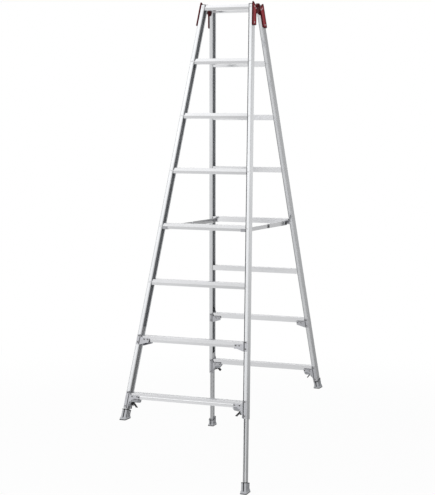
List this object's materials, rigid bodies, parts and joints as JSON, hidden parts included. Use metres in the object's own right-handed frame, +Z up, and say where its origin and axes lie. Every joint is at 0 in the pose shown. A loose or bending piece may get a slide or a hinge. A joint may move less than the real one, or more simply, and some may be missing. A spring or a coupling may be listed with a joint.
{
  "type": "folding stepladder with extending legs",
  "caption": "Tall folding aluminium stepladder with splayed channel stiles, hinged red top castings, folding stays and legs that lock at different lengths for uneven ground.",
  "frame": {"origin": "on the floor under the hinge line, midway between the feet, at the level of the soles of the legs that are out", "axes": "+X to the right of someone facing the front ladder, +Y to the rear ladder, +Z up"},
  "size_m": [0.755, 1.4916, 2.4787],
  "materials": {
    "stile_aluminium": "satin anodised",
    "rung_aluminium": "satin anodised, grooved treads",
    "leg_aluminium": "satin anodised",
    "casting_red": "dark red semi-gloss paint",
    "bracket_steel": "zinc plated",
    "fastener_steel": "plated",
    "stay_metal": "satin",
    "black_plastic": "moulded",
    "housing_plastic": "moulded",
    "foot_grey": "moulded"
  },
  "bodies": {
    "front_ladder": {"top_step_front": "rung_aluminium", "rung_front_2": "rung_aluminium", "rung_front_3": "rung_aluminium", "rung_front_4": "rung_aluminium", "rung_front_5": "rung_aluminium", "rung_front_6": "rung_aluminium", "rung_front_7": "rung_aluminium", "bottom_rung_front": "rung_aluminium", "rung_rivets_front": "fastener_steel", "pivot_pins_front": "fastener_steel", "end_caps_front": "black_plastic", "gussets_front": "bracket_steel", "lock_brackets_front": "bracket_steel", "lock_housings_front": "housing_plastic", "stay_brackets_front": "bracket_steel", "stile_front_left": "stile_aluminium", "hinge_casting_front_left": "casting_red", "stile_front_right": "stile_aluminium", "hinge_casting_front_right": "casting_red", "hinge_bolts": "fastener_steel"},
    "rear_ladder": {"top_step_rear": "rung_aluminium", "rung_rear_2": "rung_aluminium", "rung_rear_3": "rung_aluminium", "rung_rear_4": "rung_aluminium", "rung_rear_5": "rung_aluminium", "rung_rear_6": "rung_aluminium", "rung_rear_7": "rung_aluminium", "bottom_rung_rear": "rung_aluminium", "rung_rivets_rear": "fastener_steel", "pivot_pins_rear": "fastener_steel", "end_caps_rear": "black_plastic", "gussets_rear": "bracket_steel", "lock_brackets_rear": "bracket_steel", "lock_housings_rear": "housing_plastic", "stay_brackets_rear": "bracket_steel", "stile_rear_left": "stile_aluminium", "hinge_casting_rear_left": "casting_red", "stile_rear_right": "stile_aluminium", "hinge_casting_rear_right": "casting_red"},
    "leg_front_left": {"inner_leg_front_left": "leg_aluminium", "foot_front_left": "foot_grey"},
    "lever_front_left": {"lock_lever_front_left": "black_plastic"},
    "lock_pin_front_left": {"lock_pin_front_left": "fastener_steel"},
    "stay_front_left": {"stay_link_front_left": "stay_metal"},
    "leg_front_right": {"inner_leg_front_right": "leg_aluminium", "foot_front_right": "foot_grey"},
    "lever_front_right": {"lock_lever_front_right": "black_plastic"},
    "lock_pin_front_right": {"lock_pin_front_right": "fastener_steel"},
    "stay_front_right": {"stay_link_front_right": "stay_metal"},
    "leg_rear_left": {"inner_leg_rear_left": "leg_aluminium", "foot_rear_left": "foot_grey"},
    "lever_rear_left": {"lock_lever_rear_left": "black_plastic"},
    "lock_pin_rear_left": {"lock_pin_rear_left": "fastener_steel"},
    "stay_rear_left": {"stay_link_rear_left": "stay_metal"},
    "leg_rear_right": {"inner_leg_rear_right": "leg_aluminium", "foot_rear_right": "foot_grey"},
    "lever_rear_right": {"lock_lever_rear_right": "black_plastic"},
    "lock_pin_rear_right": {"lock_pin_rear_right": "fastener_steel"},
    "stay_rear_right": {"stay_link_rear_right": "stay_metal"}
  },
  "joints": [
    {"name": "fold", "type": "hinge", "parent": "front_ladder", "child": "rear_ladder", "pos_m": [0, 0, 2.45783], "axis": [-1, 0, 0], "range_deg": [0, 29.7]},
    {"name": "leg_slide_front_left", "type": "slide", "parent": "front_ladder", "child": "leg_front_left", "axis": [-0.088, -0.2556, -0.9628], "range_m": [0, 0.31]},
    {"name": "lever_swing_front_left", "type": "hinge", "parent": "front_ladder", "child": "lever_front_left", "pos_m": [-0.29852, -0.60949, 0.38992], "axis": [0, -0.9665, 0.2566], "range_deg": [-18, 0.1], "stiffness_Nm_per_rad": 0.05, "springref_deg": -18},
    {"name": "lock_pin_slide_front_left", "type": "slide", "parent": "front_ladder", "child": "lock_pin_front_left", "axis": [0.9961, -0.0226, -0.0851], "range_m": [-0.00565, 0]},
    {"name": "stay_swing_front_left", "type": "hinge", "parent": "front_ladder", "child": "stay_front_left", "pos_m": [-0.21961, -0.33464, 1.28089], "axis": [1, 0, 0], "range_deg": [-0.1, 71.56]},
    {"name": "leg_slide_front_right", "type": "slide", "parent": "front_ladder", "child": "leg_front_right", "axis": [0.088, -0.2556, -0.9628], "range_m": [-0.31, 0]},
    {"name": "lever_swing_front_right", "type": "hinge", "parent": "front_ladder", "child": "lever_front_right", "pos_m": [0.29852, -0.60949, 0.38992], "axis": [0, 0.9665, -0.2566], "range_deg": [-18, 0.1], "stiffness_Nm_per_rad": 0.05, "springref_deg": -18},
    {"name": "lock_pin_slide_front_right", "type": "slide", "parent": "front_ladder", "child": "lock_pin_front_right", "axis": [-0.9961, -0.0226, -0.0851], "range_m": [-0.00565, 0]},
    {"name": "stay_swing_front_right", "type": "hinge", "parent": "front_ladder", "child": "stay_front_right", "pos_m": [0.21961, -0.33464, 1.28089], "axis": [1, 0, 0], "range_deg": [-0.1, 71.56]},
    {"name": "leg_slide_rear_left", "type": "slide", "parent": "rear_ladder", "child": "leg_rear_left", "axis": [-0.088, 0.2556, -0.9628], "range_m": [-0.31, 0]},
    {"name": "lever_swing_rear_left", "type": "hinge", "parent": "rear_ladder", "child": "lever_rear_left", "pos_m": [-0.29852, 0.60949, 0.38992], "axis": [0, -0.9665, -0.2566], "range_deg": [-18, 0.1], "stiffness_Nm_per_rad": 0.05, "springref_deg": -18},
    {"name": "lock_pin_slide_rear_left", "type": "slide", "parent": "rear_ladder", "child": "lock_pin_rear_left", "axis": [0.9961, 0.0226, -0.0851], "range_m": [-0.00565, 0]},
    {"name": "stay_swing_rear_left", "type": "hinge", "parent": "rear_ladder", "child": "stay_rear_left", "pos_m": [-0.21961, 0.33464, 1.28089], "axis": [-1, 0, 0], "range_deg": [-0.1, 71.56]},
    {"name": "leg_slide_rear_right", "type": "slide", "parent": "rear_ladder", "child": "leg_rear_right", "axis": [0.088, 0.2556, -0.9628], "range_m": [0, 0.31]},
    {"name": "lever_swing_rear_right", "type": "hinge", "parent": "rear_ladder", "child": "lever_rear_right", "pos_m": [0.29852, 0.60949, 0.38992], "axis": [0, 0.9665, 0.2566], "range_deg": [-18, 0.1], "stiffness_Nm_per_rad": 0.05, "springref_deg": -18},
    {"name": "lock_pin_slide_rear_right", "type": "slide", "parent": "rear_ladder", "child": "lock_pin_rear_right", "axis": [-0.9961, 0.0226, -0.0851], "range_m": [-0.00565, 0]},
    {"name": "stay_swing_rear_right", "type": "hinge", "parent": "rear_ladder", "child": "stay_rear_right", "pos_m": [0.21961, 0.33464, 1.28089], "axis": [-1, 0, 0], "range_deg": [-0.1, 71.56]}
  ],
  "couplings": [
    {"joint": "lever_swing_front_left", "follows": "lock_pin_slide_front_left", "rad_per_m": 55.106},
    {"joint": "stay_swing_front_left", "follows": "fold", "ratio": 2.4029},
    {"joint": "lever_swing_front_right", "follows": "lock_pin_slide_front_right", "rad_per_m": 55.106},
    {"joint": "stay_swing_front_right", "follows": "fold", "ratio": 2.4029},
    {"joint": "lever_swing_rear_left", "follows": "lock_pin_slide_rear_left", "rad_per_m": 55.106},
    {"joint": "stay_swing_rear_left", "follows": "fold", "ratio": 2.4029},
    {"joint": "lever_swing_rear_right", "follows": "lock_pin_slide_rear_right", "rad_per_m": 55.106},
    {"joint": "stay_swing_rear_right", "follows": "fold", "ratio": 2.4029}
  ]
}
